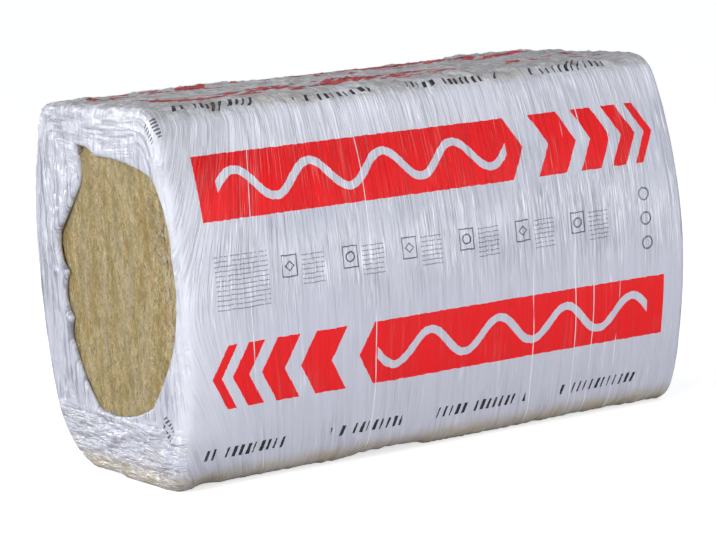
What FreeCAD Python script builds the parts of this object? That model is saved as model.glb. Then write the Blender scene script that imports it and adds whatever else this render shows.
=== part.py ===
import FreeCAD, Part
import os

# A pack of mineral wool insulation boards, standing on its long edges.
# The boards lie face to face and a shrink-film sleeve holds them together. The film pulls
# the long edges in, so each side of the pack is a shallow arc from top to bottom.
# X runs along the boards, Y through the stack and Z is up. The printed front faces -Y.
# The origin is the centre of the base, on the floor. All sizes are millimetres.

board_length = 1000.0
board_height = 625.0
board_thickness = 78.0  # an 80 mm board as the film squeezes it, at mid height
board_count = 7

front_pull_in = 72.0  # how far the film pulls the long edges in from the widest point
back_pull_in = 60.0
top_front_radius = 58.0
top_back_radius = 54.0
bottom_front_radius = 58.0
bottom_back_radius = 150.0
end_edge_radius = 20.0

film_thickness = 1.0  # thin film with its wrinkles and gathers

opening_front_margin = 20.0  # from the pack's widest point to the opening in the end film
opening_back_margin = 94.0
opening_top_margin = 62.0
opening_bottom_margin = 100.0

stack_depth = board_count * board_thickness
half_depth = stack_depth / 2
half_length = board_length / 2
base_height = film_thickness  # the wool stands on the film
top_height = base_height + board_height
mid_height = base_height + board_height / 2

# The torn edge of the opening in the -X end, as arcs that each run from the last point
# through the first of a pair to the second. Across: 0 at the front, 1 at the back.
# Up: 0 at the bottom, 1 at the top.
torn_edge_start = (0.66, 0.99)
torn_edge_arcs = [
    ((0.63, 0.98), (0.59, 0.965)),  # the spike's front edge
    ((0.37, 0.95), (0.16, 0.905)),  # top edge, falling towards the front
    ((0.125, 0.885), (0.10, 0.855)),
    ((0.00, 0.57), (0.085, 0.27)),  # long bow down the front side
    ((0.17, 0.165), (0.265, 0.065)),  # front bottom corner, cut off straight
    ((0.47, 0.01), (0.73, 0.005)),  # bottom edge
    ((0.86, 0.11), (0.95, 0.24)),  # back bottom corner
    ((0.96, 0.29), (0.93, 0.33)),  # three scallops up the back side
    ((0.98, 0.42), (0.93, 0.51)),
    ((1.00, 0.58), (0.99, 0.66)),
    ((0.87, 0.76), (0.76, 0.85)),  # slope towards the spike
    ((0.74, 0.92), (0.77, 1.00)),  # the spike's back edge
]


def point(across, up):
    """A point of the Y-Z section, at X = 0."""
    return FreeCAD.Vector(0, across, up)


def edge_through(start, middle, end):
    """An arc through three points, or a line where they lie almost in line."""
    bow = middle.distanceToLine(start, end - start)
    if bow < 0.01:
        return Part.LineSegment(start, end).toShape()
    return Part.Arc(start, middle, end).toShape()


def side_points(share, overrun=0.0):
    """Bottom, middle and top points of the seam at this share of the stack, 0 at the front.

    The seams go evenly from the front side's arc to the back side's. Overrun carries the
    same arc on past the base and the top.
    """
    middle_across = -half_depth + share * stack_depth
    pull_in = front_pull_in - share * (front_pull_in + back_pull_in)
    half_height = board_height / 2
    if abs(pull_in) < 1e-6:
        slant = 0.0
    else:
        radius = (half_height**2 + pull_in**2) / (2 * abs(pull_in))
        reach = half_height + overrun
        sag = radius - (radius**2 - reach**2) ** 0.5
        slant = sag if pull_in > 0 else -sag
    low = point(middle_across + slant, base_height - overrun)
    high = point(middle_across + slant, top_height + overrun)
    return low, point(middle_across, mid_height), high


def slab(front_share, back_share, overrun, half_span):
    """The stack between two seams, as a bar along X."""
    front_low, front_middle, front_high = side_points(front_share, overrun)
    back_low, back_middle, back_high = side_points(back_share, overrun)
    outline = Part.Wire([
        edge_through(front_low, front_middle, front_high),
        Part.LineSegment(front_high, back_high).toShape(),
        edge_through(back_high, back_middle, back_low),
        Part.LineSegment(back_low, front_low).toShape(),
    ])
    bar = Part.Face(outline).extrude(FreeCAD.Vector(2 * half_span, 0, 0))
    bar.translate(FreeCAD.Vector(-half_span, 0, 0))
    return bar


def grown_side(side, grow):
    """The front (-1) or back (+1) side's arc, moved outwards by grow, up to the grown ends."""
    pull_in = front_pull_in if side < 0 else back_pull_in
    radius = ((board_height / 2) ** 2 + pull_in**2) / (2 * pull_in)
    centre_across = side * (half_depth - radius)
    grown_radius = radius + grow
    reach = board_height / 2 + grow
    across = centre_across + side * (grown_radius**2 - reach**2) ** 0.5
    low = point(across, mid_height - reach)
    middle = point(centre_across + side * grown_radius, mid_height)
    high = point(across, mid_height + reach)
    return low, middle, high


def pack_body(grow):
    """The whole stack's rounded barrel shape, moved outwards by grow on every side."""
    front_low, front_middle, front_high = grown_side(-1, grow)
    back_low, back_middle, back_high = grown_side(1, grow)
    outline = Part.Wire([
        Part.Arc(front_low, front_middle, front_high).toShape(),
        Part.LineSegment(front_high, back_high).toShape(),
        Part.Arc(back_high, back_middle, back_low).toShape(),
        Part.LineSegment(back_low, front_low).toShape(),
    ])
    half_span = half_length + grow
    bar = Part.Face(outline).extrude(FreeCAD.Vector(2 * half_span, 0, 0))
    bar.translate(FreeCAD.Vector(-half_span, 0, 0))
    corner_radii = [
        (front_low, bottom_front_radius),
        (front_high, top_front_radius),
        (back_high, top_back_radius),
        (back_low, bottom_back_radius),
    ]
    for corner, radius in corner_radii:
        bar = bar.makeFillet(radius + grow, [edge_at(bar, corner)])
    end_edges = [edge for edge in bar.Edges if lies_in_end(edge, half_span)]
    return bar.makeFillet(end_edge_radius + grow, end_edges)


def edge_at(bar, corner):
    """The bar's long edge that passes through this corner of its section."""
    def miss(edge):
        centre = edge.CenterOfMass
        return abs(centre.x) + abs(centre.y - corner.y) + abs(centre.z - corner.z)
    return min(bar.Edges, key=miss)


def lies_in_end(edge, half_span):
    """Whether the whole edge lies in one of the bar's two end planes."""
    box = edge.BoundBox
    return box.XLength < 1e-3 and abs(abs(box.XMin) - half_span) < 1e-3


def opening_point(across, up):
    """A point of the opening, from shares of the opening's own width and height."""
    front = -half_depth + opening_front_margin
    back = half_depth - opening_back_margin
    bottom = base_height + opening_bottom_margin
    top = top_height - opening_top_margin
    return point(front + across * (back - front), bottom + up * (top - bottom))


def through_end(outline, side):
    """A cutter of this outline through the film at the -X (-1) or +X (+1) end."""
    depth = end_edge_radius + film_thickness
    cutter = Part.Face(Part.Wire(outline)).extrude(FreeCAD.Vector(2 * depth, 0, 0))
    cutter.translate(FreeCAD.Vector(side * half_length - depth, 0, 0))
    return cutter


def torn_opening():
    """The torn opening in the -X end: rounded, with a scalloped back edge and a spike."""
    start = opening_point(*torn_edge_start)
    edges = []
    here = start
    for through, end in torn_edge_arcs:
        target = opening_point(*end)
        edges.append(edge_through(here, opening_point(*through), target))
        here = target
    edges.append(Part.LineSegment(here, start).toShape())
    return through_end(edges, -1)


def plain_opening():
    """The plain oval opening in the +X end."""
    low_front = opening_point(0, 0)
    high_back = opening_point(1, 1)
    centre = (low_front + high_back) / 2
    half_width = (high_back.y - low_front.y) / 2
    half_rise = (high_back.z - low_front.z) / 2
    longest = FreeCAD.Vector(0, 0, half_rise)
    shortest = FreeCAD.Vector(0, half_width, 0)
    if half_width > half_rise:
        longest, shortest = shortest, longest
    oval = Part.Ellipse(centre + longest, centre + shortest, centre)
    return through_end([oval.toShape()], 1)


def board(index, wool):
    """One board of the stack, counted from the front."""
    overrun = 20.0
    half_span = half_length + overrun
    slice_of_stack = slab(index / board_count, (index + 1) / board_count, overrun, half_span)
    return wool.common(slice_of_stack)


def film(wool):
    """The shrink-film sleeve, open at both ends."""
    return pack_body(film_thickness).cut(wool).cut([torn_opening(), plain_opening()])


def save(name, shape):
    solids = shape.Solids
    assert len(solids) == 1 and solids[0].isValid(), name
    solids[0].exportStep(f"parts/{name}.step")
    box = solids[0].optimalBoundingBox(False)
    print(f"{name}: {box.XLength:.1f} x {box.YLength:.1f} x {box.ZLength:.1f}, {solids[0].Volume / 1e6:.2f} dm3")


os.makedirs("parts", exist_ok=True)
wool_body = pack_body(0.0)
for board_index in range(board_count):
    save(f"board_{board_index + 1}", board(board_index, wool_body))
save("film_wrap", film(wool_body))
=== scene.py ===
import math

import bmesh
import bpy
import numpy as np
from mathutils import Matrix, Vector, noise
from mathutils.bvhtree import BVHTree


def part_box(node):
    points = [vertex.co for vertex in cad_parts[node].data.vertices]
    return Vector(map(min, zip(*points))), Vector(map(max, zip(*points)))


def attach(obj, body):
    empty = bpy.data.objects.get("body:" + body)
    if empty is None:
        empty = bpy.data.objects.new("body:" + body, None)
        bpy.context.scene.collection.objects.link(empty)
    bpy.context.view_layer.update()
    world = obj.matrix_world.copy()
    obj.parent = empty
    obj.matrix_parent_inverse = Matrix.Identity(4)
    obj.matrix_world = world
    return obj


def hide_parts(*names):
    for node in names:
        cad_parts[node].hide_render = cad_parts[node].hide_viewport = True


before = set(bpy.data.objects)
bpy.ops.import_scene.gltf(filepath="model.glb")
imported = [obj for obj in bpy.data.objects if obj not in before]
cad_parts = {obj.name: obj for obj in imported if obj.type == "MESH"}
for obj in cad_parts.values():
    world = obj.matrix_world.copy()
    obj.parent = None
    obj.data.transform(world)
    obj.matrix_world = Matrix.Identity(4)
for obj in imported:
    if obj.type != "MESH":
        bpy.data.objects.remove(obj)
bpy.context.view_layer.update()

from types import SimpleNamespace

# A shrink-wrapped pack of mineral wool boards, standing on its long edges.
# Metres: +X along the boards, -Y out of the printed front, +Z up, origin on the floor.

packLow, packHigh = (np.array(corner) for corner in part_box("film_wrap"))
packMiddle = (packLow + packHigh) / 2
halfLength = packHigh[0]
boardNames = sorted(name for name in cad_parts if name.startswith("board_"))


# Camera

cameraPlace = {
    "place": (-2.4724, -4.0936, 0.9297),
    "turn": 31.0,  # degrees to the right of +Y
    "downTilt": 7.665,
    "roll": -4.153,
    "lens": 138.0,
}


def addCamera(values):
    camera = bpy.data.objects.new("packCamera", bpy.data.cameras.new("packCamera"))
    bpy.context.scene.collection.objects.link(camera)
    camera.data.lens = values["lens"]
    camera.data.clip_end = 60
    turn = Matrix.Rotation(-math.radians(values["turn"]), 4, "Z")
    tilt = Matrix.Rotation(math.radians(90 - values["downTilt"]), 4, "X")
    roll = Matrix.Rotation(math.radians(values["roll"]), 4, "Z")
    camera.matrix_world = Matrix.Translation(values["place"]) @ turn @ tilt @ roll
    bpy.context.scene.camera = camera


addCamera(cameraPlace)
print("camera placed")


# Reading the solids

def smoothStep(low, high, value):
    share = np.clip((value - low) / (high - low), 0.0, 1.0)
    return share * share * (3 - 2 * share)


def solidTree(name):
    solid = bmesh.new()
    solid.from_mesh(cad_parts[name].data)
    tree = BVHTree.FromBMesh(solid)
    solid.free()
    return tree


def outerHit(tree, start, direction):
    return tree.ray_cast(Vector(start), Vector(direction))[0]


def evenLoop(points, steps):
    # the closed line through these points as evenly spaced points, and its length
    closed = np.vstack([points, points[:1]])
    along = np.concatenate([[0], np.cumsum(np.linalg.norm(np.diff(closed, axis=0), axis=1))])
    wanted = np.linspace(0, along[-1], steps, endpoint=False)
    even = np.stack([np.interp(wanted, along, closed[:, axis]) for axis in (0, 1)], axis=1)
    return even, along[-1]


def smoothLoop(points, passes):
    for _ in range(passes):
        points = (np.roll(points, 1, axis=0) + 2 * points + np.roll(points, -1, axis=0)) / 4
    return points


# Film sleeve

filmCut = {
    "girthSteps": 328,
    "bodySteps": 232,
    "cornerSteps": 7,
    "nearWallSteps": 32,
    "farWallSteps": 14,
    "rollSteps": 4,
    "cornerRadius": 0.016,
    "rollRadius": 0.0020,  # the thick edge that the heat leaves round each opening
    "rollTurn": 3.6,  # radians
    "notch": 0.003,
    "openingMiddle": (-0.037, 0.333),  # across and up, inside both openings
    "sectionSmoothing": 6,
}

filmTree = solidTree("film_wrap")


def packSection(values):
    # the outline at mid length, from the middle of the base round by the front
    points = []
    for angle in np.linspace(0, 2 * math.pi, 1440, endpoint=False):
        across, up = -math.sin(angle), -math.cos(angle)
        start = (0, packMiddle[1] + across, packMiddle[2] + up)
        hit = outerHit(filmTree, start, (0, -across, -up))
        points.append((hit.y, hit.z))
    even, girth = evenLoop(np.array(points), values["girthSteps"])
    return smoothLoop(even, values["sectionSmoothing"]), girth


def openingRim(side, section, values):
    # the edge of the opening at one end, met along the lines from its middle to the outline
    middle = np.array(values["openingMiddle"])
    rim = []
    for target in section:
        inside, outside = 0.0, 1.0
        for _ in range(14):
            share = (inside + outside) / 2
            across, up = middle + share * (target - middle)
            hit = outerHit(filmTree, (side, across, up), (-side, 0, 0))
            if hit is not None and hit.x * side > 0:
                outside = share
            else:
                inside = share
        rim.append(middle + inside * (target - middle))
    return np.array(rim)


section, girth = packSection(filmCut)
sectionAhead = np.roll(section, -1, axis=0) - np.roll(section, 1, axis=0)
sectionAhead /= np.linalg.norm(sectionAhead, axis=1)[:, None]
sectionOut = np.stack([-sectionAhead[:, 1], sectionAhead[:, 0]], axis=1)
if (sectionOut * (section - packMiddle[1:])).sum() < 0:
    sectionOut = -sectionOut
girthAt = np.arange(filmCut["girthSteps"]) / filmCut["girthSteps"] * girth
print("section read, girth", round(girth, 3))


def filmStations(values):
    # every step along the film, from the near opening to the far one: (zone, share of it)
    zones = [
        ("nearRoll", values["rollSteps"]),
        ("nearWall", values["nearWallSteps"]),
        ("nearCorner", values["cornerSteps"]),
        ("body", values["bodySteps"]),
        ("farCorner", values["cornerSteps"]),
        ("farWall", values["farWallSteps"]),
        ("farRoll", values["rollSteps"]),
    ]
    stations = [(zone, step / steps) for zone, steps in zones for step in range(steps)]
    return stations + [("farRoll", 1.0)]


def noiseGrid(points):
    flat = points.reshape(-1, 3)
    found = np.fromiter((noise.noise(point) for point in flat.tolist()), float, len(flat))
    return found.reshape(points.shape[:-1])


def girthNoise(across, along, acrossScale, alongScale, seed):
    # noise that closes on itself round the girth; scales are waves in a metre
    angle = 2 * math.pi * along / girth
    radius = alongScale * girth / (2 * math.pi)
    ring = [radius * np.cos(angle), radius * np.sin(angle)]
    return noiseGrid(np.stack([across * acrossScale + seed, *ring], axis=-1))


def ridge(values):
    # turns noise into narrow crests with wide hollows between
    return 1 - 2.2 * np.sqrt(np.abs(values))


def raggedRim(rim, values):
    # small notches along the back of the near opening, where the film has pulled away
    along = girthAt
    notch = 0.5 - 1.4 * np.sqrt(np.abs(girthNoise(along * 0, along, 1.0, 14.0, 3.9)))
    notch *= smoothStep(-0.06, 0.06, rim[:, 0]) * smoothStep(0.50, 0.42, rim[:, 1])
    towards = np.array(values["openingMiddle"]) - rim
    towards /= np.linalg.norm(towards, axis=1)[:, None]
    return rim + towards * (values["notch"] * notch)[:, None]


def filmShape(values):
    # the film's points, the way out at each, its distances along and round, and how far down each end it is
    radius = values["cornerRadius"]
    inner = section - sectionOut * radius
    stations = filmStations(values)
    rims = {-1: raggedRim(openingRim(-1, section, values), values), 1: openingRim(1, section, values)}
    shape = (len(stations), values["girthSteps"])
    points, outward = np.zeros(shape + (3,)), np.zeros(shape + (3,))
    across, wallShare = np.zeros(shape), np.zeros(shape)
    bendEnd = halfLength - radius + radius * math.pi / 2
    for row, (zone, share) in enumerate(stations):
        side = -1 if zone.startswith("near") else 1
        reached = 1 - share if side < 0 else share
        rimward = rims[side] - inner
        wallWidth = np.linalg.norm(rimward, axis=1)
        if zone == "body":
            x = (halfLength - radius) * (2 * share - 1)
            flat, out = section, sectionOut
            outX, along = 0.0, x
        elif zone.endswith("Corner"):
            angle = reached * math.pi / 2
            flat, out = inner + sectionOut * radius * math.cos(angle), sectionOut * math.cos(angle)
            x, outX = side * (halfLength - radius + radius * math.sin(angle)), side * math.sin(angle)
            along = side * (halfLength - radius + radius * angle)
        elif zone.endswith("Wall"):
            flat, out = inner + rimward * reached, sectionOut * 0
            x, outX = side * halfLength, side
            along = side * (bendEnd + reached * wallWidth)
            wallShare[row] = side * reached
        else:
            turned = reached * values["rollTurn"]
            inwards = rimward / np.maximum(wallWidth, 1e-4)[:, None]
            flat = rims[side] + inwards * values["rollRadius"] * math.sin(turned)
            out = inwards * math.sin(turned)
            x = side * (halfLength - values["rollRadius"] * (1 - math.cos(turned)))
            outX = side * math.cos(turned)
            along = side * (bendEnd + wallWidth + values["rollRadius"] * turned)
            wallShare[row] = side
        points[row, :, 0], points[row, :, 1:] = x, flat
        outward[row, :, 0], outward[row, :, 1:] = outX, out
        across[row] = along
    return points, outward, across, wallShare


filmFolds = {
    "lump": 0.0030,  # soft unevenness of every side
    "pull": 0.0009,  # long wrinkles round the girth
    "edgeGather": 0.0016,  # closer wrinkles near the long edges
    "topRumple": 0.0040,
    "topFold": 0.0021,
    "wallCrease": 0.0007,  # creases beside the openings
    "wallCrumple": 0.0026,
    "wallDrape": 0.0030,  # upright folds on the ends
    "baseGather": 0.0055,  # folds under the near opening
    "deepest": -0.0012,  # no fold reaches the wool
    "rimLift": 0.0042,  # how far the back edge of the near opening stands off the wool
    "frontRimLift": 0.0012,
    "edgeWave": 0.0060,  # the lower front edge, lifted here and there off the floor
    "cornerBulge": 0.0060,  # the lower near corner, pushed out by its own folds
}


def filmFoldHeight(across, along, wallShare, values):
    up = np.interp(along, girthAt, section[:, 1], period=girth)
    sideways = np.interp(along, girthAt, section[:, 0], period=girth)
    topShare = smoothStep(0.60, 0.622, up)
    near, far = np.clip(-wallShare, 0, 1), np.clip(wallShare, 0, 1)
    onBody = (wallShare == 0).astype(float)
    lean = 0.5 * (along - girth * 0.25) * np.exp(-np.clip(across + halfLength, 0, 1) / 0.05)
    height = values["lump"] * girthNoise(across, along, 4.0, 5.0, 1.5)
    height += values["pull"] * onBody * ridge(girthNoise(across - lean, along, 34.0, 2.2, 7.1))
    nearEdge = smoothStep(0.12, 0.30, np.abs(up - packMiddle[2]))
    height += values["edgeGather"] * onBody * nearEdge * ridge(girthNoise(across - lean, along, 58.0, 4.5, 3.3))
    height += values["topRumple"] * topShare * onBody * girthNoise(across, along, 13.0, 16.0, 4.4)
    height += values["topFold"] * topShare * onBody * ridge(girthNoise(across, along, 30.0, 34.0, 8.1))
    # the end walls: creases that run the way the edge of the opening does
    depth = np.sin(math.pi * np.maximum(near, far)) * (1 - 0.45 * smoothStep(0.42, 0.55, up))
    height += values["wallCrease"] * depth * ridge(girthNoise(across, along, 42.0, 4.0, 9.7))
    closing = sideways * 30 * (1 - 0.35 * np.abs(wallShare))
    drape = noiseGrid(np.stack([closing, up * 5, across * 6 + 0.7], axis=-1))
    height += values["wallDrape"] * depth * ridge(drape) * smoothStep(0.05, 0.12, up)
    height += values["wallCrumple"] * depth * ridge(girthNoise(across, along, 20.0, 17.0, 6.6))
    under = smoothStep(0.15, 0.05, up) * np.sin(math.pi * near)
    height += values["baseGather"] * under * ridge(girthNoise(across, along, 30.0, 9.0, 5.9))
    atBack = smoothStep(-0.12, 0.10, sideways)
    lift = values["frontRimLift"] + (values["rimLift"] - values["frontRimLift"]) * atBack
    height += lift * smoothStep(0.5, 1.0, near) * (1 + 0.8 * girthNoise(across * 0, along, 1.0, 11.0, 2.2))
    height += values["frontRimLift"] * smoothStep(0.5, 1.0, far)
    # the lower near corner
    cornerward = np.exp(-((across + halfLength - 0.01) / 0.035) ** 2) * np.exp(-((up - 0.02) / 0.03) ** 2)
    height += values["cornerBulge"] * cornerward * (sideways < 0) * onBody
    soft = height - values["deepest"]
    return values["deepest"] + np.where(soft > 0.002, soft, 0.002 * np.exp(np.minimum(soft / 0.002 - 1, 0)))


def liftLowerEdge(points, across, values):
    # the film hangs free of the floor along parts of the lower front edge
    wave = noiseGrid(np.stack([across * 4.3 + 2.6, across * 0 + 0.4, across * 0], axis=-1))
    wave = smoothStep(-0.05, 0.35, wave) * smoothStep(-0.49, -0.40, across) * smoothStep(0.5, 0.42, across)
    atEdge = smoothStep(0.05, 0.0, points[..., 2]) * smoothStep(-0.05, -0.16, points[..., 1])
    points[..., 2] += values["edgeWave"] * wave * atEdge


def buildFilm():
    points, outward, across, wallShare = filmShape(filmCut)
    along = np.broadcast_to(girthAt, across.shape)
    height = filmFoldHeight(across, along, wallShare, filmFolds)
    points = points + outward * height[..., None]
    liftLowerEdge(points, across, filmFolds)
    points[..., 2] = np.maximum(points[..., 2], 0.0)
    rows, columns = across.shape
    sheet = bmesh.new()
    bmesh.ops.create_grid(sheet, x_segments=rows - 1, y_segments=columns, size=0.5)
    filmMap = sheet.loops.layers.uv.new("filmMap")
    place = {}
    for vertex in sheet.verts:
        row = round((vertex.co.x + 0.5) * (rows - 1))
        column = round((vertex.co.y + 0.5) * columns)
        place[vertex] = (row, column)
    for face in sheet.faces:
        for loop in face.loops:
            row, column = place[loop.vert]
            turn = girth if column == columns else 0.0
            loop[filmMap].uv = (across[row, column % columns], girthAt[column % columns] + turn)
    for vertex, (row, column) in place.items():
        vertex.co = points[row, column % columns]
    seam = [vertex for vertex, (row, column) in place.items() if column in (0, columns)]
    bmesh.ops.remove_doubles(sheet, verts=seam, dist=1e-5)
    highest = max(sheet.faces, key=lambda face: face.calc_center_median().z)
    if highest.normal.z < 0:
        bmesh.ops.reverse_faces(sheet, faces=sheet.faces)
    for face in sheet.faces:
        face.smooth = True
    mesh = bpy.data.meshes.new("filmSleeve")
    sheet.to_mesh(mesh)
    sheet.free()
    return linkPiece("filmSleeve", mesh)


def linkPiece(name, mesh):
    piece = bpy.data.objects.new(name, mesh)
    bpy.context.scene.collection.objects.link(piece)
    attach(piece, "root")
    return piece


filmSleeve = buildFilm()
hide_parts("film_wrap")
print("film made,", len(filmSleeve.data.polygons), "faces")


# Wool boards

woolCut = {
    "acrossSteps": 26,
    "upSteps": 200,
    "inset": 0.008,  # kept clear under the film
    "swell": 0.003,
    "strand": 0.0012,
    "backDip": 0.0045,  # the wool has sunk behind the back edge of the opening
    "tornSeam": 0.006,  # the first seam from the front, pulled open
    "quietSeam": 0.0002,
    "tornPatch": 0.0034,  # rough wool beside the torn seam
    "tuckIn": 0.007,  # how far the wool stays behind the film beside the opening
}


def boardSpan(tree, up):
    # the front and back of a board at this height
    front = outerHit(tree, (0, -1, up), (0, 1, 0))
    back = outerHit(tree, (0, 1, up), (0, -1, 0))
    return front.y, back.y


def underFilm(across, up, inset):
    # draws a point in until it is clear of the film
    place = np.array([across, up])
    offset = place - section
    nearest = np.argmin((offset**2).sum(axis=1))
    gap = -(offset[nearest] * sectionOut[nearest]).sum()
    return place - sectionOut[nearest] * max(0.0, inset - gap)


tearLine = boardSpan(solidTree(boardNames[0]), 0.33)[1]  # where the first seam lies


def rimShares(side):
    # turns a place on an end into its share of the way out to the edge of the opening
    middle = np.array(filmCut["openingMiddle"])
    rim = openingRim(side, section, filmCut) - middle
    angles, reaches = np.arctan2(rim[:, 1], rim[:, 0]), np.linalg.norm(rim, axis=1)
    order = np.argsort(angles)

    def share(across, up):
        away = np.array([across, up]) - middle
        reach = np.interp(math.atan2(away[1], away[0]), angles[order], reaches[order], period=2 * math.pi)
        return np.linalg.norm(away) / reach

    return share


def woolRelief(side, across, up, seamGap, values):
    # how far the end face stands out at this point, and in again along the seams
    relief = values["swell"] * noise.noise((across * 13, up * 8, side * 3 + 1.7))
    relief += values["strand"] * noise.noise((across * 110, up * 85, side * 5))
    relief += 0.6 * values["strand"] * noise.noise((across * 330, up * 240, side + 4.1))
    relief -= values["backDip"] * float(smoothStep(0.06, 0.17, across)) * (side < 0)
    relief += values["swell"] * 0.6 * noise.noise((across * 34, up * 14, side + 8.8))
    seam, torn = seamGap
    if side < 0:
        patch = math.exp(-(((across - tearLine) / 0.028) ** 2) - ((up - 0.44) / 0.07) ** 2)
        relief += values["tornPatch"] * patch * noise.noise((across * 75, up * 60, 5.5))
        relief += 0.5 * values["tornPatch"] * patch * noise.noise((across * 190, up * 150, 1.2))
    ragged = 0.5 + 0.5 * noise.noise((0.3, up * 18, 7.7))
    if torn:
        ragged *= float(smoothStep(0.16, 0.27, up) * smoothStep(0.50, 0.40, up))
        relief -= values["tornSeam"] * ragged * math.exp(-((seam / 0.006) ** 2))
        tufts = noise.noise((across * 90, up * 70, 2.2)) * math.exp(-((seam / 0.03) ** 2))
        relief += 0.4 * values["tornSeam"] * ragged * tufts
    else:
        relief -= values["quietSeam"] * max(0.0, ragged - 0.2) * math.exp(-((seam / 0.003) ** 2))
    return relief


def endPlace(vertex):
    return round(vertex.co.y, 6), round(vertex.co.z, 6)


def buildBoard(name, index, shares, values):
    low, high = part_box(name)
    tree = solidTree(name)
    slab = bmesh.new()
    bmesh.ops.create_grid(slab, x_segments=values["acrossSteps"], y_segments=values["upSteps"], size=0.5)
    bottom, top = low.z + 0.0005, high.z - 0.0005
    seams = {}
    for vertex in slab.verts:
        up = bottom + (top - bottom) * (vertex.co.y + 0.5)
        front, back = boardSpan(tree, up)
        share = vertex.co.x + 0.5
        across = front + share * (back - front)
        toFront, toBack = across - front, back - across
        seam = toFront if index and (toFront < toBack or index == len(boardNames) - 1) else toBack
        if index == len(boardNames) - 1 and toFront > toBack:
            seam = 1.0
        torn = (index == 0 and toBack <= toFront) or (index == 1 and toFront < toBack)
        seams[vertex.index] = (seam, torn, min(max(across, front + 0.004), back - 0.004))
        vertex.co = (0, *underFilm(across, up, values["inset"]))
    slab.verts.ensure_lookup_table()
    seamOf = {vertex: seams[vertex.index] for vertex in slab.verts}
    nearVerts = list(slab.verts)
    made = bmesh.ops.extrude_face_region(slab, geom=slab.faces[:])
    farVerts = [part for part in made["geom"] if isinstance(part, bmesh.types.BMVert)]
    seamAt = {endPlace(vertex): seamOf[vertex] for vertex in nearVerts if vertex.is_valid}
    farOnes = set(farVerts)
    for vertex in slab.verts:
        side = 1 if vertex in farOnes else -1
        *seamGap, probed = seamAt[endPlace(vertex)]
        hit = outerHit(tree, (side, probed, vertex.co.z), (-side, 0, 0))
        x = hit.x if hit is not None else side * (halfLength - 0.02)
        hidden = float(smoothStep(0.955, 1.08, shares[side](vertex.co.y, vertex.co.z)))
        relief = woolRelief(side, vertex.co.y, vertex.co.z, seamGap, values) - 0.002
        vertex.co.x = x + side * (relief - hidden * values["tuckIn"])
    bmesh.ops.recalc_face_normals(slab, faces=slab.faces)
    if slab.calc_volume(signed=True) < 0:
        bmesh.ops.reverse_faces(slab, faces=slab.faces)
    for face in slab.faces:
        face.smooth = abs(face.normal.x) > 0.2
    for edge in slab.edges:
        edge.smooth = all(face.smooth for face in edge.link_faces)
    mesh = bpy.data.meshes.new("wool_" + name)
    slab.to_mesh(mesh)
    slab.free()
    piece = linkPiece("wool_" + name, mesh)
    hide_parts(name)
    return piece


openingShares = {side: rimShares(side) for side in (-1, 1)}
woolBoards = [buildBoard(name, index, openingShares, woolCut) for index, name in enumerate(boardNames)]
print("wool made,", sum(len(piece.data.polygons) for piece in woolBoards), "faces")


# Loose strands on the cut wool

strandCut = {
    "seed": 7,
    "onNearEnd": 260,
    "onFarEnd": 80,
    "tearStrands": 80,
    "patchStrands": 130,
    "pointStrands": 16,  # dark ones left in the top corner of the near opening
    "tear": -0.022,  # from the first seam
    "patch": -0.008,
    "point": (0.052, 0.553),
    "thickness": 0.0004,
    "length": (0.006, 0.024),
    "steps": 5,
}


def addStrand(sheaf, start, heading, bend, length, values):
    ring = bmesh.ops.create_circle(sheaf, cap_ends=True, segments=3, radius=values["thickness"])["verts"]
    turn = heading.to_track_quat("Z", "Y").to_matrix().to_4x4()
    bmesh.ops.transform(sheaf, matrix=Matrix.Translation(start) @ turn, verts=ring)
    edges = list({edge for vertex in ring for edge in vertex.link_edges})
    middle, pace = start.copy(), length / values["steps"]
    for _ in range(values["steps"]):
        grown = bmesh.ops.extrude_edge_only(sheaf, edges=edges)["geom"]
        edges = [part for part in grown if isinstance(part, bmesh.types.BMEdge)]
        verts = list({vertex for edge in edges for vertex in edge.verts})
        turned = (heading + bend).normalized()
        bent = heading.rotation_difference(turned).to_matrix()
        bmesh.ops.rotate(sheaf, cent=middle, matrix=bent, verts=verts)
        heading = turned
        middle = middle + heading * pace
        bmesh.ops.translate(sheaf, vec=heading * pace, verts=verts)
    bmesh.ops.pointmerge(sheaf, verts=verts, merge_co=middle)


def meshTree(mesh):
    places = [vertex.co for vertex in mesh.vertices]
    return BVHTree.FromPolygons(places, [face.vertices for face in mesh.polygons])


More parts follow.
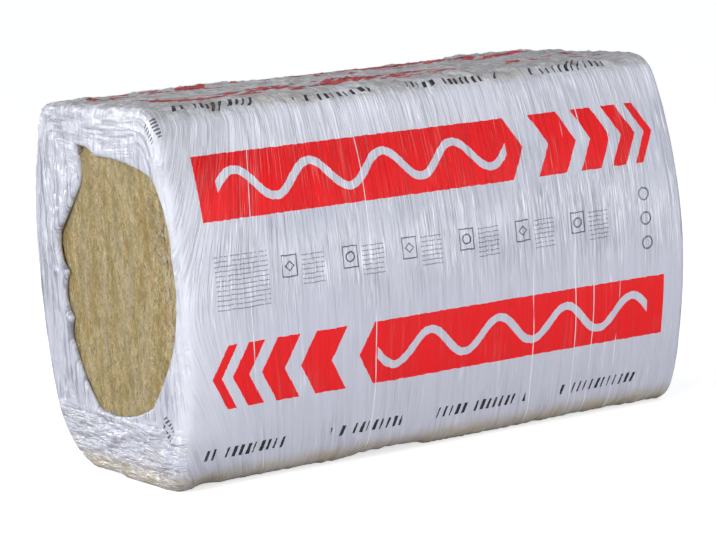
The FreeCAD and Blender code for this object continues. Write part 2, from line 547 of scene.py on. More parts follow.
def buildStrands(values):
    chance = np.random.default_rng(values["seed"])
    trees = [meshTree(piece.data) for piece in woolBoards]
    rims = {side: openingRim(side, section, filmCut) for side in (-1, 1)}
    middle = np.array(filmCut["openingMiddle"])
    sheaf = bmesh.new()
    plan = [(-1, "anywhere")] * values["onNearEnd"] + [(1, "anywhere")] * values["onFarEnd"]
    for where in ("tear", "patch", "point"):
        plan += [(-1, where)] * values[where + "Strands"]
    for side, where in plan:
        rimPoint = rims[side][chance.integers(len(section))]
        across, up = middle + (rimPoint - middle) * (0.95 * math.sqrt(chance.random()))
        if where == "tear":
            across, up = tearLine + values["tear"] + chance.normal(0, 0.005), chance.uniform(0.22, 0.46)
        elif where == "patch":
            across, up = tearLine + values["patch"] + chance.normal(0, 0.016), chance.uniform(0.38, 0.50)
        elif where == "point":
            across, up = np.array(values["point"]) + chance.normal(0, 0.0025, 2)
        hits = [tree.ray_cast(Vector((side, across, up)), Vector((-side, 0, 0)))[0] for tree in trees]
        hits = [hit for hit in hits if hit is not None]
        if not hits:
            continue
        start = max(hits, key=lambda hit: side * hit.x)
        heading = Vector((side * chance.uniform(0.05, 0.5), chance.normal(0, 0.45), chance.normal(0, 1.0)))
        heading.normalize()
        bend = Vector((-side * 0.10, chance.normal(0, 0.16), chance.normal(0, 0.12)))
        length = chance.uniform(*values["length"])
        if where == "point":
            heading = Vector((-0.35, chance.uniform(0.3, 1.0), chance.normal(0, 0.35))).normalized()
        addStrand(sheaf, start - Vector((side * 0.0004, 0, 0)), heading, bend, length, values)
    for face in sheaf.faces:
        face.smooth = True
    bmesh.ops.recalc_face_normals(sheaf, faces=sheaf.faces)
    mesh = bpy.data.meshes.new("looseStrands")
    sheaf.to_mesh(mesh)
    sheaf.free()
    return linkPiece("looseStrands", mesh)


looseStrands = buildStrands(strandCut)
print("strands made,", len(looseStrands.data.polygons), "faces")


# Materials

def newMaterial(name):
    material = bpy.data.materials.new(name)
    material.use_nodes = True
    material.node_tree.nodes.clear()
    return material


class Bench:
    # a small hand for wiring one node tree
    def __init__(self, tree):
        self.tree = tree

    def add(self, kind, settings=None, **inputs):
        node = self.tree.nodes.new(kind)
        for key, value in (settings or {}).items():
            setattr(node, key, value)
        for key, value in inputs.items():
            self.feed(node, key, value)
        return node

    def feed(self, node, socket, value):
        socket = node.inputs[socket]
        if isinstance(value, bpy.types.NodeSocket):
            self.tree.links.new(value, socket)
        else:
            socket.default_value = value

    def math(self, operation, *values, clamp=False):
        node = self.add("ShaderNodeMath", {"operation": operation, "use_clamp": clamp})
        for index, value in enumerate(values):
            self.feed(node, index, value)
        return node.outputs[0]

    def chain(self, operation, values):
        total = values[0]
        for value in values[1:]:
            total = self.math(operation, total, value)
        return total

    def times(self, *values):
        return self.chain("MULTIPLY", values)

    def plus(self, *values):
        return self.chain("ADD", values)

    def most(self, *values):
        return self.chain("MAXIMUM", values)

    def rest(self, mask):
        return self.math("SUBTRACT", 1.0, mask)

    def off(self, value, middle=0.5):
        return self.math("SUBTRACT", value, middle)

    def within(self, value, middle, reach):
        # 1 where the value is no further than reach from middle
        return self.math("COMPARE", value, middle, reach)

    def mix(self, share, first, second):
        node = self.add("ShaderNodeMix", {"data_type": "RGBA"})
        self.feed(node, 0, share)
        self.feed(node, 6, first)
        self.feed(node, 7, second)
        return node.outputs[2]

    def step(self, value, low, high, first=0.0, second=1.0):
        node = self.add("ShaderNodeMapRange", {"interpolation_type": "SMOOTHSTEP"})
        for index, setting in enumerate((value, low, high, first, second)):
            self.feed(node, index, setting)
        return node.outputs[0]

    def streaks(self, place, scale, low, high, detail=2.0, roughness=0.5):
        node = self.add("ShaderNodeGroup", {"node_tree": drawnStreaks})
        for name, value in zip(streakInputs, (place, scale, low, high, detail, roughness)):
            self.feed(node, name, value)
        return node.outputs["Mask"]

    def lines(self, place, scale, reach, detail=2.0):
        # thin wandering lines, where the noise crosses its middle
        off = self.math("ABSOLUTE", self.off(self.streaks(place, scale, 0.2, 0.8, detail)))
        return self.step(off, 0.0, reach, 1.0, 0.0)

    def split(self, vector):
        return self.add("ShaderNodeSeparateXYZ", Vector=vector).outputs

    def join(self, x, y, z):
        return self.add("ShaderNodeCombineXYZ", X=x, Y=y, Z=z).outputs[0]

    def bump(self, height, strength, distance):
        node = self.add("ShaderNodeBump", Height=height)
        node.inputs["Strength"].default_value = strength
        node.inputs["Distance"].default_value = distance
        return node.outputs[0]

    def finish(self, shader):
        out = self.add("ShaderNodeOutputMaterial")
        self.tree.links.new(shader.outputs[0], out.inputs[0])


streakInputs = {
    "Place": "Vector",
    "Scale": "Vector",
    "Low": "Float",
    "High": "Float",
    "Detail": "Float",
    "Roughness": "Float",
}


def streakGroup():
    # drawn-out noise: wrinkles in the film, layers in the wool
    group = bpy.data.node_groups.new("drawnStreaks", "ShaderNodeTree")
    for name, kind in streakInputs.items():
        group.interface.new_socket(name, in_out="INPUT", socket_type="NodeSocket" + kind)
    group.interface.new_socket("Mask", in_out="OUTPUT", socket_type="NodeSocketFloat")
    bench = Bench(group)
    given = bench.add("NodeGroupInput").outputs
    mapped = bench.add("ShaderNodeMapping", Vector=given["Place"], Scale=given["Scale"]).outputs[0]
    found = bench.add("ShaderNodeTexNoise", Vector=mapped, Scale=1.0)
    for name in ("Detail", "Roughness"):
        bench.feed(found, name, given[name])
    mask = bench.step(found.outputs[0], given["Low"], given["High"])
    bench.feed(bench.add("NodeGroupOutput"), "Mask", mask)
    return group


drawnStreaks = streakGroup()

filmLook = {
    "white": (0.50, 0.51, 0.595, 1),
    # painted shade colour, for the wrinkle furrows and the hollows of the end folds
    "paintedShade": (0.27, 0.275, 0.34, 1),
    # painted highlight colour, also the pale colour of the long creases
    "bright": (0.82, 0.83, 0.90, 1),
    "woolThrough": (0.42, 0.35, 0.24, 1),
    "red": (0.74, 0.003, 0.006, 1),
    "redDeep": (0.50, 0.004, 0.008, 1),
    "redWornAndHighlight": (0.86, 0.14, 0.13, 1),
    "redShade": (0.11, 0.004, 0.006, 1),
    "topShade": (0.25, 0.23, 0.22, 1),
    "black": (0.016, 0.016, 0.022, 1),
    "roughness": 0.23,
    "gloss": 0.38,
    "wrinkleDepth": 0.0022,
}

# Drawn noise: waves in a metre, low, high, detail, roughness; for lines, waves and reach
filmWrinkles = {
    "longCreases": (-0.385, -0.150, 0.175, 0.262, 0.300, 0.355),  # sharp ones, from edge to edge
    "onMap": {
        "fine": ((250.0, 9.0, 1.0), 0.28, 0.72, 3.0, 0.6),
        "medium": ((95.0, 5.0, 1.0), 0.30, 0.70, 3.0, 0.5),
        "broad": ((36.0, 2.4, 1.0), 0.30, 0.70, 2.0, 0.5),
        "sparse": ((14.0, 9.0, 1.0), 0.44, 0.60, 1.0),
        "closeSparse": ((16.0, 12.0, 6.0), 0.44, 0.60, 1.0),
        "darkSparse": ((11.0, 8.0, 5.0), 0.44, 0.60, 1.0),
        "creaseWander": ((2.5, 2.4, 1.0), 0.2, 0.8, 2.0),
        "creaseBreak": ((6.0, 9.0, 4.0), 0.40, 0.50),
        "shadow": ((170.0, 7.0, 1.0), 0.46, 0.72, 3.0),
        "inkWear": ((150.0, 7.0, 1.0), 0.46, 0.75, 3.0),
    },
    "linesOnMap": {
        "brightLines": ((95.0, 2.8, 3.0), 0.075),
        "closeLines": ((190.0, 5.0, 9.0), 0.16),
        "darkLines": ((120.0, 3.6, 7.0), 0.075),
    },
    "solid": {
        "upright": ((12.0, 80.0, 7.5), 0.30, 0.70, 3.0, 0.6),
        "uprightSparse": ((11.0, 13.0, 8.0), 0.44, 0.56),
        "level": ((14.0, 16.0, 90.0), 0.30, 0.70, 3.0, 0.6),
        "crumple": ((30.0, 34.0, 30.0), 0.3, 0.7, 2.0, 0.55),
        "sharpSparse": ((9.0, 9.0, 9.0), 0.45, 0.6),
        "patchy": ((7.0, 9.0, 6.0), 0.40, 0.60, 1.0),
        "rumple": ((15.0, 15.0, 15.0), 0.25, 0.75, 0.5),
        "hiding": ((11.0, 20.0, 13.0), 0.52, 0.56, 2.0),  # print lost inside the top's folds
        "thinPatch": ((24.0, 24.0, 30.0), 0.40, 0.62, 3.0),
        "topDark": ((30.0, 60.0, 30.0), 0.54, 0.60, 2.0),
    },
    "solidLines": {
        "uprightLines": ((6.0, 58.0, 5.5), 0.075),
        "facets": ((20.0, 20.0, 20.0), 0.42, 1.5),
        "sharp": ((17.0, 17.0, 17.0), 0.035, 2.0),
        "topLines": ((24.0, 46.0, 24.0), 0.16, 2.0),
    },
}

# A generic print: red bands holding an insulation wave, chevrons, black marks and small boxes
filmPrint = {
    # across and up of each row's middle, and the way it points along the boards
    "redRows": [
        ((-0.27, 0.500), 1),
        ((-0.27, 0.185), -1),
        ((-0.095, 0.627), 1),
        ((0.105, 0.627), -1),
        ((0.27, 0.470), 1),
        ((0.27, 0.200), -1),
    ],
    "rowHalf": 0.054,
    "band": (-0.135, 0.315),  # middle and half length
    "wave": (0.140, 0.025, 0.0068),  # length, height, half width of the line
    "waveHalf": 0.280,
    "lean": 0.55,
    "bars": [(0.262, 0.0290), (0.343, 0.0215), (0.403, 0.0150), (0.447, 0.0085)],
    "blackRows": [((-0.25, 0.050), 1), ((-0.205, 0.625), 1), ((0.235, 0.600), 1), ((0.18, 0.050), 1)],
    "blackHalf": 0.0095,
    "markStep": 0.0128,
    "markGroups": [(-0.385, 0.082), (-0.155, 0.070), (0.075, 0.094), (0.325, 0.082)],  # middle and half length
    "boxRows": [((-0.27, 0.345), 1), ((0.27, 0.335), 1)],
    "boxRowHalf": 0.075,
    "boxStep": 0.115,
    "box": (0.0145, 0.0185),  # half width and half height
    "boxMotif": (0.0078, 0.0014),  # its reach and half the line
    "thinStep": 0.0078,
    "farRings": (0.416, 0.043, 0.0105),  # across, step and radius
    "endMarks": [(-0.203, 0.590), (-0.184, 0.106)],  # across and up
}


def girthWhere(place):
    return float(girthAt[np.argmin(((section - np.array(place)) ** 2).sum(axis=1))])


def printRows(bench, along, rows, half):
    # where a row lies, how far a point is from its middle line, and which way it faces
    inRow, offRow, facingRow = 0.0, 0.0, 0.0
    for place, facing in rows:
        off = bench.off(along, girthWhere(place))
        here = bench.within(off, 0.0, half)
        inRow = bench.plus(inRow, here)
        offRow = bench.math("MULTIPLY_ADD", here, off, offRow)
        facingRow = bench.math("MULTIPLY_ADD", here, facing, facingRow)
    return inRow, offRow, facingRow


def redPrint(bench, across, along, plan):
    # every red row is drawn once, in its own coordinates
    inRow, offRow, facing = printRows(bench, along, plan["redRows"], plan["rowHalf"])
    acrossRow = bench.times(facing, across)
    away = bench.math("ABSOLUTE", offRow)
    leaning = bench.math("MULTIPLY_ADD", away, plan["lean"], acrossRow)
    middle, half = plan["band"]
    square = bench.math("GREATER_THAN", acrossRow, middle - half)
    red = bench.times(square, bench.math("LESS_THAN", leaning, middle + half))
    length, height, line = plan["wave"]
    phase = bench.times(bench.off(acrossRow, middle - plan["waveHalf"]), 2 * math.pi / length)
    rise = bench.times(bench.math("SINE", phase), height)
    slope = bench.times(bench.math("COSINE", phase), 2 * math.pi * height / length)
    steepness = bench.math("SQRT", bench.math("MULTIPLY_ADD", slope, slope, 1.0))
    fromWave = bench.math("DIVIDE", bench.math("ABSOLUTE", bench.off(offRow, rise)), steepness)
    inWave = bench.within(acrossRow, middle, plan["waveHalf"])
    wave = bench.times(bench.math("LESS_THAN", fromWave, line), inWave)
    red = bench.times(red, bench.rest(wave))
    for place, reach in plan["bars"]:
        red = bench.plus(red, bench.within(leaning, place, reach))
    return bench.times(red, inRow)


def blackPrint(bench, across, along, plan):
    inRow, offRow, _ = printRows(bench, along, plan["blackRows"], plan["blackHalf"])
    leaning = bench.math("MULTIPLY_ADD", offRow, -0.3, across)
    cell = bench.math("DIVIDE", leaning, plan["markStep"])
    number = bench.math("FLOOR", cell)
    chance = bench.add("ShaderNodeTexWhiteNoise", {"noise_dimensions": "1D"}, W=number).outputs["Value"]
    share = bench.math("FRACT", cell)
    mark = bench.math("LESS_THAN", share, bench.math("MULTIPLY_ADD", chance, 0.45, 0.14))
    mark = bench.times(mark, bench.math("GREATER_THAN", chance, 0.13))
    groups = 0.0
    for middle, half in plan["markGroups"]:
        groups = bench.plus(groups, bench.within(across, middle, half))
    return bench.times(mark, groups, inRow)


def endMarks(bench, sideways, up, plan):
    # small slanted marks beside the near opening
    marks = 0.0
    for across, height in plan["endMarks"]:
        off, rise = bench.off(sideways, across), bench.off(up, height)
        slant = bench.plus(bench.times(off, 0.75), bench.times(rise, -0.6))
        turned = bench.plus(bench.times(off, 0.6), bench.times(rise, 0.75))
        mark = bench.math("LESS_THAN", bench.math("FRACT", bench.math("DIVIDE", turned, 0.0062)), 0.5)
        mark = bench.times(mark, bench.within(turned, 0.0, 0.0175))
        marks = bench.plus(marks, bench.times(mark, bench.within(slant, 0.006, 0.0050)))
        marks = bench.plus(marks, bench.times(mark, bench.within(slant, -0.009, 0.0035)))
    return marks


def boxPrint(bench, across, along, plan):
    # a row of outlined boxes with a plain ring or diamond in each, and thin broken lines beside them
    inRow, offRow, _ = printRows(bench, along, plan["boxRows"], plan["boxRowHalf"])
    cell = bench.math("DIVIDE", bench.plus(across, 0.33), plan["boxStep"])
    number = bench.math("FLOOR", cell)
    fromBox = bench.times(bench.off(bench.math("FRACT", cell), 0.22), plan["boxStep"])
    wide, tall = bench.math("ABSOLUTE", fromBox), bench.math("ABSOLUTE", bench.off(offRow, 0.010))
    halfWide, halfTall = plan["box"]
    edge = bench.most(bench.math("DIVIDE", wide, halfWide), bench.math("DIVIDE", tall, halfTall))
    outline = bench.within(edge, 0.94, 0.06)
    ringReach = bench.math("SQRT", bench.plus(bench.times(wide, wide), bench.times(tall, tall)))
    odd = bench.math("MODULO", bench.math("ABSOLUTE", number), 2.0)
    reach = bench.plus(bench.times(odd, ringReach), bench.times(bench.rest(odd), bench.plus(wide, tall)))
    motif = bench.within(reach, *plan["boxMotif"])
    boxes = bench.times(bench.plus(outline, motif), bench.within(across, 0.015, 0.345))
    # thin lines, to the right of each box
    line = bench.math("LESS_THAN", bench.math("FRACT", bench.math("DIVIDE", offRow, plan["thinStep"])), 0.24)
    crumbs = bench.streaks(bench.join(across, number, offRow), (260.0, 1.0, 40.0), 0.36, 0.44)
    beside = bench.times(bench.within(fromBox, 0.044, 0.021), bench.within(across, 0.03, 0.33))
    block = bench.times(bench.within(offRow, -0.004, 0.046), bench.within(across, -0.393, 0.049))
    shortBlock = bench.times(beside, bench.within(offRow, 0.0, 0.028))
    lines = bench.times(line, crumbs, bench.plus(block, shortBlock))
    # three small outlines at the far end
    ringsAt, step, radius = plan["farRings"]
    side = bench.math("ABSOLUTE", bench.off(across, ringsAt))
    share = bench.math("FRACT", bench.math("DIVIDE", bench.plus(offRow, 1.5 * step), step))
    ups = bench.math("ABSOLUTE", bench.off(share))
    far = bench.math("SQRT", bench.plus(bench.times(side, side), bench.times(ups, ups, 0.00185)))
    rings = bench.times(bench.within(far, radius, 0.0016), bench.within(offRow, 0.0, 1.5 * step))
    ink = bench.plus(boxes, bench.times(lines, 0.65), bench.times(rings, 0.9))
    return bench.times(ink, inRow, 0.9)


def filmZones(bench):
    # where a point lies on the film, and how far it belongs to each region
    zone = SimpleNamespace(place=bench.add("ShaderNodeTexCoord").outputs["Object"])
    zone.across, zone.along, _ = bench.split(bench.add("ShaderNodeUVMap", {"uv_map": "filmMap"}).outputs[0])
    zone.x, zone.y, up = bench.split(zone.place)
    zone.up = up
    zone.top = bench.step(up, 0.598, 0.618)
    zone.wall = bench.step(bench.math("ABSOLUTE", zone.x), halfLength - 0.012, halfLength - 0.002)
    zone.side = bench.rest(zone.wall)
    zone.midBand = bench.times(bench.step(up, 0.24, 0.33), bench.step(up, 0.48, 0.42))
    zone.nearTop = bench.most(bench.step(up, 0.42, 0.55), bench.times(bench.step(up, 0.11, 0.03), 0.35))
    crisp = bench.plus(bench.times(zone.nearTop, 0.75), bench.times(zone.midBand, 0.60), 0.22)
    zone.crisp = bench.times(crisp, bench.math("MULTIPLY_ADD", zone.side, 0.9, 0.1))
    # wrinkles fan out from the near end edge
    zone.fromEdge = bench.most(bench.plus(zone.across, halfLength), 0.0)
    fading = bench.math("EXPONENT", bench.times(zone.fromEdge, -13.0))
    fading = bench.times(fading, bench.step(zone.across, -0.57, -0.50))
    fromMiddle = bench.off(zone.along, girthWhere((-0.27, 0.30)))
    bowed = bench.math("MINIMUM", bench.times(fromMiddle, fromMiddle), 0.09)
    zone.fanned = bench.off(zone.across, bench.times(fading, bowed, 4.2))
    zone.drawn = bench.join(zone.fanned, zone.along, 0.0)
    return zone


def filmFoldMasks(bench, zone, values):
    fold = {name: bench.streaks(zone.drawn, *setting) for name, setting in values["onMap"].items()}
    fold.update({name: bench.lines(zone.drawn, *setting) for name, setting in values["linesOnMap"].items()})
    fold.update({name: bench.streaks(zone.place, *setting) for name, setting in values["solid"].items()})
    fold.update({name: bench.lines(zone.place, *setting) for name, setting in values["solidLines"].items()})
    fold = SimpleNamespace(**fold)
    higher = bench.math("MULTIPLY_ADD", bench.step(zone.up, 0.20, 0.40), 0.6, 0.4)
    fold.brightLines = bench.times(fold.brightLines, fold.sparse, higher, zone.side)
    fold.closeLines = bench.times(fold.closeLines, fold.closeSparse, bench.most(zone.nearTop, zone.midBand))
    fold.darkLines = bench.times(fold.darkLines, fold.darkSparse, zone.crisp)
    fold.uprightLines = bench.times(fold.uprightLines, fold.uprightSparse)
    fold.sharp = bench.times(fold.sharp, fold.sharpSparse)
    wandering = bench.plus(zone.fanned, bench.times(bench.off(fold.creaseWander), 0.02))
    fold.crease = 0.0
    for middle in values["longCreases"]:
        fold.crease = bench.plus(fold.crease, bench.within(wandering, middle, 0.0008))
    underOpening = bench.step(zone.up, 0.12, 0.085)
    upright = bench.times(fold.upright, bench.rest(underOpening))
    fold.drape = bench.plus(upright, bench.times(fold.level, underOpening, 1.6))
    wallCrushed = bench.times(zone.wall, bench.math("MULTIPLY_ADD", fold.patchy, 0.38, 0.10))
    fold.crushed = bench.most(zone.top, wallCrushed)
    return fold


def filmHeight(bench, zone, fold):
    crumpled = bench.off(bench.plus(fold.crumple, fold.facets), 0.9)
    draped = bench.off(bench.plus(fold.drape, bench.times(fold.uprightLines, 0.5)), 0.55)
    return bench.plus(
        bench.times(bench.off(fold.fine), 0.42, zone.crisp),
        bench.times(bench.off(fold.medium), 0.85, zone.crisp),
        bench.times(bench.off(fold.broad), zone.side),
        bench.times(fold.brightLines, 0.6),
        bench.times(fold.closeLines, 0.4),
        bench.times(fold.darkLines, -0.45),
        bench.times(fold.crease, 0.5),
        bench.times(fold.sharp, fold.crushed, 0.8),
        bench.times(crumpled, fold.crushed, 1.8),
        bench.times(draped, zone.wall, 1.2),
    )


def filmInk(bench, zone, fold, plan):
    # the print shifts a little with every wrinkle, and much more where the top is crushed
    topWave = bench.times(bench.off(fold.rumple), zone.top)
    topShift = bench.times(bench.off(fold.crumple), zone.top)
    along = bench.plus(
        zone.along,
        bench.times(bench.off(fold.medium), 0.0013),
        bench.times(topShift, 0.003),
        bench.times(topWave, 0.022),
    )
    across = bench.plus(zone.across, bench.times(bench.off(fold.fine), 0.0012), bench.times(topWave, 0.026))
    red = redPrint(bench, across, along, plan)
    red = bench.times(red, bench.rest(bench.times(zone.top, fold.hiding)))
    onNearWall = bench.math("LESS_THAN", zone.x, 0.012 - halfLength)
    marks = bench.times(endMarks(bench, zone.y, zone.up, plan), onNearWall, 0.85)
    black = bench.most(blackPrint(bench, across, along, plan), boxPrint(bench, across, along, plan), marks)
    return red, black


def bareFilm(bench, zone, fold, values):
    # the film's colour, with the wool showing through where it is pressed on thinly, and painted shade and
    # painted highlights in its wrinkles and along its edges
    up, patch = zone.up, fold.thinPatch
    # painted shade: dark streaks between the wrinkles and along their furrows
    shadow = bench.times(fold.shadow, zone.crisp, 0.24)
    white = bench.mix(bench.most(shadow, bench.times(fold.darkLines, 0.7)), values["white"], values["paintedShade"])
    # painted highlights: pale lines on the wrinkle ridges, on the crushed top and on the end folds
    wallGlint = bench.times(fold.uprightLines, zone.wall, 0.75)
    glint = bench.most(fold.brightLines, fold.closeLines, bench.times(fold.sharp, fold.crushed), wallGlint)
    white = bench.mix(bench.times(glint, 0.8), white, values["bright"])
    # painted shade in the hollows between the end folds, deeper lower down
    hollow = bench.rest(bench.step(fold.drape, 0.10, 0.45))
    wallShade = bench.times(hollow, zone.wall, bench.step(up, 0.60, 0.50, 0.25, 0.90))
    white = bench.mix(wallShade, white, values["paintedShade"])
    # painted light: the film lighter along the top edges, more so towards the near end
    topEdgeLightShare = bench.step(zone.across, 0.42, -0.10, 0.20, 0.42)
    topEdgeLight = bench.times(bench.step(up, 0.48, 0.585), zone.side, topEdgeLightShare)
    white = bench.mix(topEdgeLight, white, values["bright"])
    lowNear = bench.times(bench.step(up, 0.12, 0.02), bench.step(zone.x, -0.46, -0.50), patch, 0.30)
    lowEdge = bench.times(bench.step(up, 0.042, 0.014), bench.math("MULTIPLY_ADD", patch, 0.35, 0.55))
    onTop = bench.times(zone.top, zone.side, bench.math("MULTIPLY_ADD", patch, 0.34, 0.16))
    white = bench.mix(bench.most(lowNear, lowEdge, onTop), white, values["woolThrough"])
    # painted highlight along the near end edge, where the film bends round it
    foldHighlight = bench.times(
        bench.math("EXPONENT", bench.times(zone.fromEdge, -15.0)),
        bench.step(zone.across, -0.560, -0.520),
        bench.step(up, 0.03, 0.12),
        bench.math("LESS_THAN", zone.y, 0.0),
    )
    return bench.mix(bench.times(foldHighlight, 0.48), white, values["bright"])


def filmMaterial(values, plan, wrinkles):
    material = newMaterial("printedFilm")
    bench = Bench(material.node_tree)
    zone = filmZones(bench)
    fold = filmFoldMasks(bench, zone, wrinkles)
    normal = bench.bump(filmHeight(bench, zone, fold), 1.0, values["wrinkleDepth"])
    red, black = filmInk(bench, zone, fold, plan)
    white = bareFilm(bench, zone, fold, values)
    # red ink worn here and there, and painted shade in the crumples of the top
    wornAndShaded = bench.most(bench.times(fold.inkWear, 0.30), bench.times(fold.crumple, zone.top, 0.9))
    redInk = bench.mix(wornAndShaded, values["red"], values["redDeep"])
    # the red paler along the highlight ridges: ink worn off them, and painted highlight
    redInk = bench.mix(bench.times(fold.brightLines, 0.4), redInk, values["redWornAndHighlight"])
    # painted shade in the folds of the top, on the red print and on the bare film
    topDark = bench.times(zone.top, bench.most(fold.topLines, fold.topDark))
    redInk = bench.mix(bench.times(topDark, 0.85), redInk, values["redShade"])
    white = bench.mix(bench.times(topDark, 0.42), white, values["topShade"])
    colour = bench.mix(red, white, redInk)
    colour = bench.mix(bench.times(fold.crease, fold.creaseBreak, 0.85), colour, values["bright"])
    # painted highlight: the black ink paler along the highlight ridges
    ink = bench.times(black, bench.rest(bench.times(fold.brightLines, 0.5)))
    colour = bench.mix(ink, colour, values["black"])
    shader = bench.add("ShaderNodeBsdfPrincipled", {}, **{"Base Color": colour, "Normal": normal})
    bench.feed(shader, "Roughness", bench.math("MULTIPLY_ADD", zone.top, 0.2, values["roughness"]))
    shader.inputs["Specular IOR Level"].default_value = values["gloss"]
    bench.finish(shader)
    return material


woolLook = {
    "light": (0.92, 0.735, 0.41, 1),
    "mid": (0.255, 0.193, 0.071, 1),
    "warm": (0.47, 0.27, 0.070, 1),
    "olive": (0.29, 0.235, 0.072, 1),
    "pale": (0.53, 0.465, 0.375, 1),
    # dark wool, also the painted shade in the pits and along the torn seam
    "dark": (0.070, 0.048, 0.022, 1),
    "tuft": (0.80, 0.73, 0.56, 1),  # loose ends beside the torn seam
    "grainDepth": 0.0025,
    "grain": {
        # waves in a metre along, across and up, low, high, detail, roughness
        "layers": ((60.0, 190.0, 85.0), 0.34, 0.66, 5.0, 0.62),
        "mottle": ((230.0, 290.0, 200.0), 0.34, 0.66, 5.0, 0.78),
        "clumps": ((60.0, 75.0, 48.0), 0.36, 0.64, 3.0, 0.6),
        "pits": ((220.0, 260.0, 190.0), 0.58, 0.72, 4.0, 0.6),
        "bands": ((4.0, 38.0, 8.0), 0.44, 0.62, 4.0, 0.6),
        "paleBands": ((5.0, 60.0, 13.0), 0.46, 0.64, 5.0, 0.7),
        "spots": ((22.0, 30.0, 15.0), 0.49, 0.63, 4.0, 0.65),
        "tearWander": ((30.0, 1.0, 26.0), 0.2, 0.8, 3.0),
        "tearBreak": ((60.0, 60.0, 30.0), 0.42, 0.52),
        "tearWarm": ((90.0, 130.0, 60.0), 0.52, 0.66, 3.0),
    },
}

strandLook = {
    "dark": (0.30, 0.22, 0.10, 1),
    "light": (0.72, 0.66, 0.52, 1),
    "atPoint": (0.045, 0.034, 0.022, 1),
    "pointFrom": (0.536, 0.546),
}


def woolMaterial(values):
    material = newMaterial("mineralWool")
    bench = Bench(material.node_tree)
    place = bench.add("ShaderNodeTexCoord").outputs["Object"]
    _, across, up = bench.split(place)
    grain = {name: bench.streaks(place, *setting) for name, setting in values["grain"].items()}
    grain = SimpleNamespace(**grain)
    fromMiddle = bench.step(bench.math("ABSOLUTE", bench.plus(across, 0.03)), 0.05, 0.17)
    tone = bench.plus(
        bench.times(grain.layers, 0.27),
        bench.times(grain.mottle, 0.48),
        bench.times(grain.clumps, 0.25),
    )
    colour = bench.mix(tone, values["mid"], values["light"])
    paleShare = bench.times(grain.paleBands, bench.math("MULTIPLY_ADD", fromMiddle, -0.30, 0.50))
    colour = bench.mix(paleShare, colour, values["pale"])
    colour = bench.mix(bench.times(grain.bands, 0.42), colour, values["olive"])
    warmShare = bench.times(grain.spots, bench.math("MULTIPLY_ADD", fromMiddle, 0.42, 0.22))
    colour = bench.mix(warmShare, colour, values["warm"])
    # painted shade in the small pits of the wool
    colour = bench.mix(bench.times(grain.pits, 0.55), colour, values["dark"])
    # the torn seam: painted shade in its dark hollows, pale tufts and warmer wool beside it
    wander = bench.times(bench.off(grain.tearWander), 0.010)
    fromTear = bench.math("ABSOLUTE", bench.plus(across, wander, bench.times(up, -0.05), 0.043 - tearLine))
    alongTear = bench.times(bench.step(up, 0.20, 0.27), bench.step(up, 0.49, 0.42))
    shadedCrack = bench.times(bench.step(fromTear, 0.0010, 0.0050, 1.0, 0.0), alongTear, grain.tearBreak)
    rough = bench.times(bench.step(fromTear, 0.004, 0.026, 1.0, 0.0), alongTear)
    tufts = bench.times(rough, bench.lines(place, (70.0, 120.0, 60.0), 0.22, 3.0))
    colour = bench.mix(bench.times(tufts, 0.65), colour, values["tuft"])
    colour = bench.mix(bench.times(rough, grain.tearWarm, 0.6), colour, values["warm"])
    colour = bench.mix(bench.times(shadedCrack, 0.85), colour, values["dark"])
    height = bench.plus(
        bench.times(grain.layers, 0.4),
        grain.mottle,
        bench.times(grain.clumps, 0.8),
        bench.times(grain.pits, -0.7),
        bench.times(shadedCrack, -1.5),
    )
    normal = bench.bump(height, 0.9, values["grainDepth"])
    shader = bench.add("ShaderNodeBsdfPrincipled", {}, **{"Base Color": colour, "Normal": normal})
    shader.inputs["Roughness"].default_value = 0.95
    shader.inputs["Specular IOR Level"].default_value = 0.15
    bench.finish(shader)
    return material


def strandMaterial(values):
    material = newMaterial("woolStrands")
    bench = Bench(material.node_tree)
    place = bench.add("ShaderNodeTexCoord").outputs["Object"]
    tone = bench.streaks(place, (60.0, 60.0, 60.0), 0.35, 0.65)
    colour = bench.mix(tone, values["dark"], values["light"])
    atPoint = bench.step(bench.split(place)[2], *values["pointFrom"])
    colour = bench.mix(atPoint, colour, values["atPoint"])
    shader = bench.add("ShaderNodeBsdfPrincipled", {}, **{"Base Color": colour})
    shader.inputs["Roughness"].default_value = 0.7
    bench.finish(shader)
    return material


filmSleeve.data.materials.append(filmMaterial(filmLook, filmPrint, filmWrinkles))
woolFinish = woolMaterial(woolLook)
for piece in woolBoards:
    piece.data.materials.append(woolFinish)
looseStrands.data.materials.append(strandMaterial(strandLook))
print("materials made")


# Floor and light

stageValues = {
    "floorColour": (0.72, 0.72, 0.72, 1),
    "floorLift": 0.64,  # keeps the floor pale without lighting the pack
    "backdropStrength": 1.0,
    "skyColour": (0.93, 0.96, 1.0, 1),
    "skyStrength": 0.51,
}


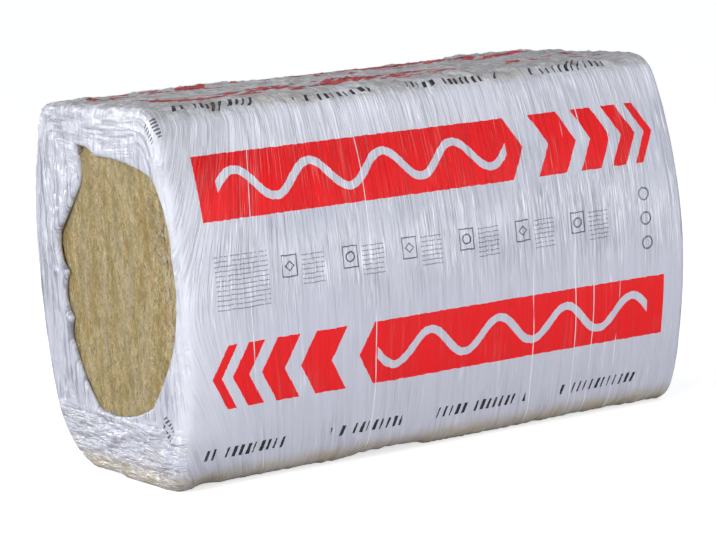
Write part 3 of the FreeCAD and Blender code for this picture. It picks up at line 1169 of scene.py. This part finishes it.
def addFloor(values):
    slab = bmesh.new()
    bmesh.ops.create_grid(slab, x_segments=1, y_segments=1, size=30)
    mesh = bpy.data.meshes.new("studioFloor")
    slab.to_mesh(mesh)
    slab.free()
    floor = bpy.data.objects.new("studioFloor", mesh)
    bpy.context.scene.collection.objects.link(floor)
    material = newMaterial("paleFloor")
    bench = Bench(material.node_tree)
    shader = bench.add("ShaderNodeBsdfPrincipled")
    shader.inputs["Base Color"].default_value = values["floorColour"]
    shader.inputs["Roughness"].default_value = 0.9
    lift = bench.add("ShaderNodeEmission", Color=(1, 1, 1, 1))
    seen = bench.add("ShaderNodeLightPath").outputs["Is Camera Ray"]
    bench.feed(lift, "Strength", bench.times(seen, values["floorLift"]))
    both = bench.add("ShaderNodeAddShader")
    bench.feed(both, 0, shader.outputs[0])
    bench.feed(both, 1, lift.outputs[0])
    bench.finish(both)
    mesh.materials.append(material)


def addWorld(values):
    world = bpy.data.worlds.new("studioWorld")
    bpy.context.scene.world = world
    world.use_nodes = True
    world.node_tree.nodes.clear()
    bench = Bench(world.node_tree)
    backdrop = bench.add("ShaderNodeBackground", Color=(1, 1, 1, 1), Strength=values["backdropStrength"])
    sky = bench.add("ShaderNodeBackground", Color=values["skyColour"], Strength=values["skyStrength"])
    seen = bench.add("ShaderNodeLightPath").outputs["Is Camera Ray"]
    both = bench.add("ShaderNodeMixShader")
    for index, socket in enumerate((seen, sky.outputs[0], backdrop.outputs[0])):
        bench.feed(both, index, socket)
    bench.feed(bench.add("ShaderNodeOutputWorld"), 0, both.outputs[0])


softLights = [
    # name, place, size across and up, watts
    ("keyLight", (-3.3, -1.2, 2.5), (1.4, 1.2), 62),
    ("foldLight", (-2.6, -2.2, 0.45), (0.5, 1.2), 33),
    ("glintLight", (1.7, -2.9, 0.42), (2.2, 0.20), 37),
    ("backLight", (-1.9, 3.4, 1.0), (2.0, 1.2), 66),
]


def addSoftLight(name, place, size, watts):
    light = bpy.data.lights.new(name, "AREA")
    light.shape = "RECTANGLE"
    light.size, light.size_y = size
    light.energy = watts
    lamp = bpy.data.objects.new(name, light)
    bpy.context.scene.collection.objects.link(lamp)
    lamp.visible_camera = False
    aim = Vector((0, 0, 0.3)) - Vector(place)
    lamp.matrix_world = Matrix.Translation(place) @ aim.to_track_quat("-Z", "Y").to_matrix().to_4x4()


addFloor(stageValues)
addWorld(stageValues)
for lightValues in softLights:
    addSoftLight(*lightValues)
bpy.context.scene.view_settings.view_transform = "Standard"
print("stage made")
